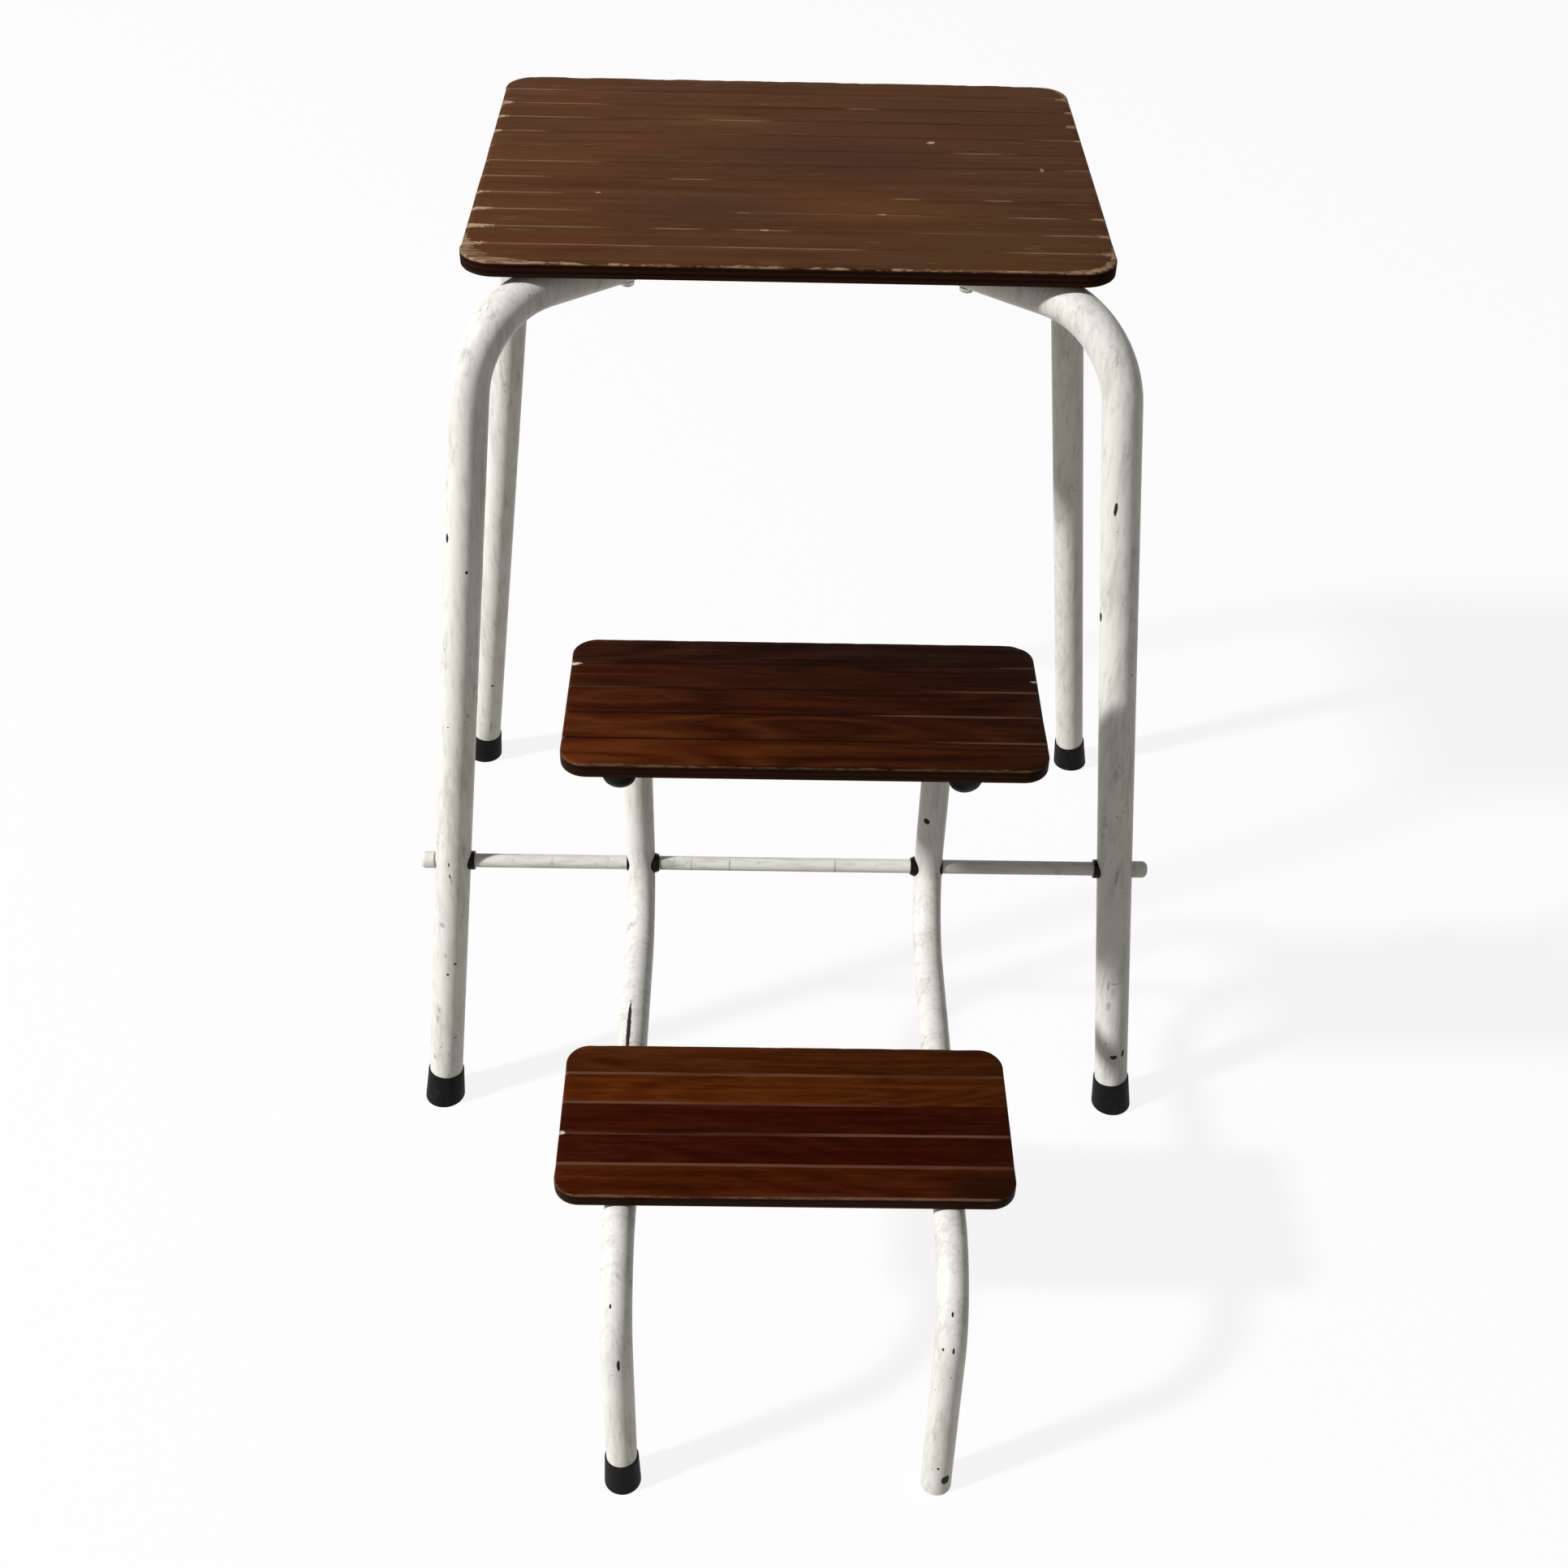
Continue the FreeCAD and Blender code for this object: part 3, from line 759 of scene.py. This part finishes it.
enamelSet = {
    "cream": (0.745, 0.731, 0.684),
    "thin": (0.50, 0.485, 0.44),
    "scuff": (0.40, 0.385, 0.35),
    "chip": (0.020, 0.017, 0.016),
    "grey": (0.33, 0.31, 0.28),
    "brushNoise": ((400.0, 400.0, 55.0), 3.0, 0.6),
    "wideNoise": ((75.0, 75.0, 20.0), 3.0, 0.6),
    "scuffNoise": ((130.0, 130.0, 45.0), 4.0, 0.7),
    "fleckNoise": ((420.0, 420.0, 300.0), 2.0, 0.5),
    "fleckPatchNoise": ((25.0, 25.0, 20.0), 2.0),
    "tornNoise": ((450.0, 450.0, 300.0), 3.0, 0.6),
    "brushShare": 0.5,
    "wideShare": 0.5,
    "thinRange": (0.43, 0.66),
    "thinShare": 0.65,
    "scuffRange": (0.56, 0.70),
    "scuffPatchRange": (0.42, 0.60),
    "scuffShare": 0.7,
    "fleckRange": (0.73, 0.76),
    "fleckPatchRange": (0.5, 0.6),
    "torn": 1.2,
    "markAndShadowRange": (0.0, 0.7),
    "markAndShadowShare": 0.7,
    "chipTorn": 0.7,
    "chipRange": (0.05, 0.2),
    "roughness": 0.36,
    "scuffRough": 0.2,
    "fleckRough": 0.3,
    "brushRough": 0.15,
    "brushRelief": 0.3,
    "fleckRelief": 0.6,
    "reliefDepth": 0.0003,
    "specular": 0.12,
    "chips": [  # down to black, place and half sizes
        ((-0.2191, -0.0159, 0.4776), (0.0014, 0.0020, 0.0040)),
        ((-0.2080, -0.0220, 0.4562), (0.0012, 0.0012, 0.0012)),
        ((0.2013, -0.0171, 0.5065), (0.0012, 0.0020, 0.0050)),
        ((0.2025, -0.0151, 0.4263), (0.0020, 0.0024, 0.0036)),
        ((0.2557, -0.0586, 0.0580), (0.0034, 0.0034, 0.0022)),
        ((0.2626, -0.0562, 0.0601), (0.0014, 0.0020, 0.0042)),
        ((0.0984, -0.0375, 0.2707), (0.0026, 0.0030, 0.0028)),
        ((-0.1056, -0.1660, 0.1906), (0.0016, 0.0290, 0.0040)),
        ((-0.1058, -0.3778, 0.1646), (0.0008, 0.0014, 0.0024)),
        ((-0.1014, -0.3933, 0.1256), (0.0011, 0.0020, 0.0055)),
        ((0.1022, -0.3798, 0.1627), (0.0008, 0.0014, 0.0026)),
        ((0.0975, -0.3892, 0.1400), (0.0008, 0.0012, 0.0014)),
        ((0.1038, -0.3907, 0.1406), (0.0008, 0.0014, 0.0036)),
        ((0.1077, -0.4017, 0.0151), (0.0032, 0.0050, 0.0050)),
        ((0.1021, -0.4019, 0.0279), (0.0010, 0.0014, 0.0010)),
        ((-0.2626, 0.3689, 0.0940), (0.0014, 0.0014, 0.0014)),
        ((-0.2386, -0.0432, 0.2292), (0.0005, 0.0012, 0.0024)),
        ((-0.2388, -0.0441, 0.2194), (0.0005, 0.0012, 0.0018)),
        ((-0.2476, -0.0522, 0.1304), (0.0012, 0.0012, 0.0010)),
        ((-0.2416, -0.0503, 0.1395), (0.0014, 0.0012, 0.0010)),
    ],
    "marksAndShadow": [  # grey marks, and the left stringer's shadow painted on the rod; place and half sizes
        ((-0.2481, -0.0469, 0.1751), (0.0030, 0.0030, 0.0030)),
        ((-0.2380, -0.0443, 0.2159), (0.0012, 0.0030, 0.0080)),
        ((-0.2479, -0.0503, 0.1476), (0.0014, 0.0020, 0.0030)),
        ((-0.2589, -0.0543, 0.0867), (0.0020, 0.0020, 0.0070)),
        ((0.2435, -0.0517, 0.1270), (0.0014, 0.0030, 0.0070)),
        ((0.2474, -0.0523, 0.1294), (0.0040, 0.0030, 0.0014)),
        ((-0.2580, -0.0535, 0.0961), (0.0012, 0.0030, 0.0070)),
        ((-0.2476, -0.0558, 0.0682), (0.0034, 0.0030, 0.0014)),
        ((-0.2650, -0.0568, 0.0477), (0.0014, 0.0030, 0.0040)),
        ((0.2460, -0.0534, 0.1076), (0.0025, 0.0030, 0.0070)),
        ((0.2369, -0.0433, 0.2274), (0.0020, 0.0030, 0.0120)),
        # Painted shadow: the left stringer's shadow on the rod, painted grey just right of the stringer
        ((-0.0848, -0.0345, 0.2261), (0.0150, 0.0080, 0.0050)),
        # Thin grey rings round the rod; the first one lies where that painted shadow ends
        ((-0.0668, -0.0343, 0.2241), (0.0008, 0.0100, 0.0100)),
        ((-0.0396, -0.0344, 0.2241), (0.0010, 0.0100, 0.0100)),
        ((0.0359, -0.0336, 0.2241), (0.0012, 0.0100, 0.0100)),
    ],
}


def enamelFinish(name, values):
    made, shader, place = startMaterial(name)
    brush = speckle(place, *values["brushNoise"])
    wide = speckle(place, *values["wideNoise"])
    thin = ramp(brush * values["brushShare"] + wide * values["wideShare"], *values["thinRange"])
    body = mixed(thin * values["thinShare"], values["cream"], values["thin"])
    scuffed = ramp(speckle(place, *values["scuffNoise"]), *values["scuffRange"])
    scuffed = scuffed * ramp(wide, *values["scuffPatchRange"])
    body = mixed(scuffed * values["scuffShare"], body, values["scuff"])
    torn = (speckle(place, *values["tornNoise"]) - 0.5) * values["torn"]
    # Grey marks, and the left stringer's shadow painted grey on the rod
    markedAndShaded = ramp(nearestOf(place, values["marksAndShadow"]) + torn, *values["markAndShadowRange"])
    body = mixed(markedAndShaded * values["markAndShadowShare"], body, values["grey"])
    fleck = ramp(speckle(place, *values["fleckNoise"]), *values["fleckRange"])
    fleck = fleck * ramp(speckle(place, *values["fleckPatchNoise"]), *values["fleckPatchRange"])
    chipped = ramp(nearestOf(place, values["chips"]) + torn * values["chipTorn"], *values["chipRange"])
    fleck = fleck.maths("MAXIMUM", fleck, chipped)
    body = mixed(fleck, body, values["chip"])
    plug(shader, "Base Color", body)
    rough = values["roughness"] + scuffed * values["scuffRough"] + fleck * values["fleckRough"]
    plug(shader, "Roughness", rough + (brush - 0.5) * values["brushRough"])
    relief = brush * values["brushRelief"] - fleck * values["fleckRelief"]
    plug(shader, "Normal", bump(relief, values["reliefDepth"]))
    shader.inputs["Specular IOR Level"].default_value = values["specular"]
    return made


rodSet = dict(
    enamelSet,
    brushNoise=((55.0, 400.0, 400.0), 3.0, 0.6),
    wideNoise=((20.0, 75.0, 75.0), 3.0, 0.6),
)
enamel = enamelFinish("enamel", enamelSet)
rodEnamel = enamelFinish("rodEnamel", rodSet)


# Rubber, plastic and steel

rubberSet = {
    "black": (0.005, 0.005, 0.005),
    "dusty": (0.018, 0.0175, 0.0165),
    "dustNoise": ((160.0, 160.0, 160.0), 4.0, 0.65),
    "dustRange": (0.5, 0.72),
    "grainNoise": ((1200.0, 1200.0, 1200.0), 2.0),
    "grainDepth": 0.0001,
    "roughness": 0.6,
    "dustRough": 0.3,
    "specular": 0.08,
}
plasticSet = dict(rubberSet, roughness=0.4)


def rubberFinish(name, values):
    made, shader, place = startMaterial(name)
    dust = speckle(place, *values["dustNoise"])
    plug(shader, "Base Color", mixed(ramp(dust, *values["dustRange"]), values["black"], values["dusty"]))
    plug(shader, "Roughness", values["roughness"] + (dust - 0.5) * values["dustRough"])
    plug(shader, "Normal", bump(speckle(place, *values["grainNoise"]), values["grainDepth"]))
    shader.inputs["Specular IOR Level"].default_value = values["specular"]
    return made


rubber = rubberFinish("rubber", rubberSet)
plastic = rubberFinish("blackPlastic", plasticSet)

steelSet = {
    "bright": (0.55, 0.54, 0.52),
    "dull": (0.30, 0.27, 0.24),
    "stainNoise": ((300.0, 300.0, 300.0), 4.0, 0.6),
    "stainRange": (0.45, 0.7),
    "roughness": 0.3,
    "stainRough": 0.3,
}


def steelFinish(name, values):
    made, shader, place = startMaterial(name)
    stained = ramp(speckle(place, *values["stainNoise"]), *values["stainRange"])
    plug(shader, "Base Color", mixed(stained, values["bright"], values["dull"]))
    plug(shader, "Roughness", values["roughness"] + stained * values["stainRough"])
    shader.inputs["Metallic"].default_value = 1.0
    return made


steel = steelFinish("steel", steelSet)
print("finishes made")

finishes = {
    "enamel": enamel,
    "rubber": rubber,
    "black_plastic": plastic,
    "black_steel": plastic,
    "steel": steel,
}
slotOf = {row["node"]: row["material_slot"] for row in frame["record"]["subparts"]}
for name, piece in parts.items():
    finish = finishes.get(slotOf.get(name))
    if finish is None:
        continue
    if name == "pivot_rod":
        finish = rodEnamel
    if not piece.material_slots:
        piece.data.materials.append(finish)
    for holder in piece.material_slots:
        holder.material = finish
print("slots filled", sorted(set(slotOf.values())))


# Weld beads where the two short frame tubes meet the long one

weldSet = {
    "crossing": (0.0, 0.16301, 0.6204),  # where the tubes' middle lines meet
    "longRun": (0.7737, 0.6335, 0.0),  # along the long tube
    "shortRun": (0.7737, -0.6335, 0.0),  # along the two short ones
    "tubeRadius": 0.0126,
    "beadRadius": 0.0015,
    "ripple": 0.16,
    "ripples": 34,
    "steps": 136,
    "around": 8,  # sides of the bead
}


def makeWeld(name, values, way, finish):
    # The bead is spun round the short tube's axis, here X, then laid along the seam.
    outward = Vector(values["shortRun"]) * way
    up = Vector((0, 0, 1))
    side = up.cross(outward)
    off = up.cross(Vector(values["longRun"]))
    off = off if off.dot(outward) > 0 else -off
    radius = values["tubeRadius"]
    mesh = bmesh.new()
    bmesh.ops.create_circle(mesh, segments=values["around"], radius=values["beadRadius"])
    bmesh.ops.translate(mesh, vec=(0, radius, 0), verts=mesh.verts)
    bmesh.ops.spin(mesh, geom=mesh.verts[:] + mesh.edges[:], cent=(0, 0, 0), axis=(1, 0, 0),
                   angle=math.tau, steps=values["steps"], use_merge=True)
    for vert in mesh.verts:
        turn = math.atan2(vert.co.z, vert.co.y)
        middle = Vector((0, radius * math.cos(turn), radius * math.sin(turn)))
        along = (abs(middle.y) - middle.y * side.dot(off)) / outward.dot(off)
        swell = 1 + values["ripple"] * math.sin(values["ripples"] * turn)
        vert.co = middle + (vert.co - middle) * swell + Vector((along, 0, 0))
    place = Matrix((outward, side, up)).transposed().to_4x4()
    place.translation = Vector(values["crossing"])
    bmesh.ops.transform(mesh, matrix=place, verts=mesh.verts)
    bmesh.ops.recalc_face_normals(mesh, faces=mesh.faces)
    for face in mesh.faces:
        face.smooth = True
    piece = addPiece(name, mesh, finish)
    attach(piece, "frame")


makeWeld("front_weld", weldSet, 1, enamel)
makeWeld("rear_weld", weldSet, -1, enamel)
print("welds made")


# Floor, backdrop and light

studioSet = {
    "floorSize": 60.0,
    "white": (1.0, 1.0, 1.0, 1.0),
    "floorWhite": 0.9,
    "floorBounce": (0.46, 0.44, 0.40),
    "shownWhite": 0.88,
    "skyStrength": 0.2,
    "skyShown": 0.91,
    "keyAim": (0.0, -0.05, 0.3),
    "keyFrom": (-1.23, -0.49, 1.0),
    "keyDistance": 12.0,
    "keySize": 0.8,
    "keyPower": 1760.0,
}


def shownRay(tree):
    # 1 for what the camera sees itself, in a mirror or through glass.
    light = Wire(tree).node("ShaderNodeLightPath").socket.node.outputs
    seen = Wire(tree, light["Is Camera Ray"])
    seen = seen.maths("MAXIMUM", seen, Wire(tree, light["Is Glossy Ray"]))
    return seen.maths("MAXIMUM", seen, Wire(tree, light["Is Transmission Ray"]))


def floorFinish(values):
    # Matt for the light that it bounces, and an even white where it is seen
    made = bpy.data.materials.new("floor")
    made.use_nodes = True
    tree = made.node_tree
    tree.nodes.remove(tree.nodes["Principled BSDF"])
    shown = shownRay(tree)
    pale = mixed(shown, values["floorBounce"], (values["floorWhite"],) * 3)
    matt = shown.node("ShaderNodeBsdfDiffuse", None, {"Color": pale})
    glow = shown.node("ShaderNodeEmission", None, {"Color": values["white"], "Strength": 1.0})
    share = shown * values["shownWhite"]
    both = shown.node("ShaderNodeMixShader", None, {0: share, 1: matt, 2: glow})
    tree.links.new(both.socket, tree.nodes["Material Output"].inputs["Surface"])
    return made


def makeFloor(values):
    sheet = bmesh.new()
    bmesh.ops.create_grid(sheet, x_segments=1, y_segments=1, size=values["floorSize"] / 2)
    floor = addPiece("floor", sheet, floorFinish(values))


def makeSky(values):
    world = bpy.data.worlds.new("studio")
    scene.world = world
    world.use_nodes = True
    sky = world.node_tree
    shown = shownRay(sky)
    strength = shown * (values["skyShown"] - values["skyStrength"]) + values["skyStrength"]
    back = sky.nodes["Background"]
    back.inputs["Color"].default_value = values["white"]
    sky.links.new(strength.socket, back.inputs["Strength"])


def makeKeyLight(values):
    lamp = bpy.data.lights.new("keyLight", "AREA")
    lamp.size = values["keySize"]
    lamp.energy = values["keyPower"]
    key = bpy.data.objects.new("keyLight", lamp)
    away = Vector(values["keyFrom"]).normalized()
    key.location = Vector(values["keyAim"]) + away * values["keyDistance"]
    key.rotation_euler = away.to_track_quat("Z", "Y").to_euler()
    scene.collection.objects.link(key)


makeFloor(studioSet)
makeSky(studioSet)
makeKeyLight(studioSet)
print("studio made")
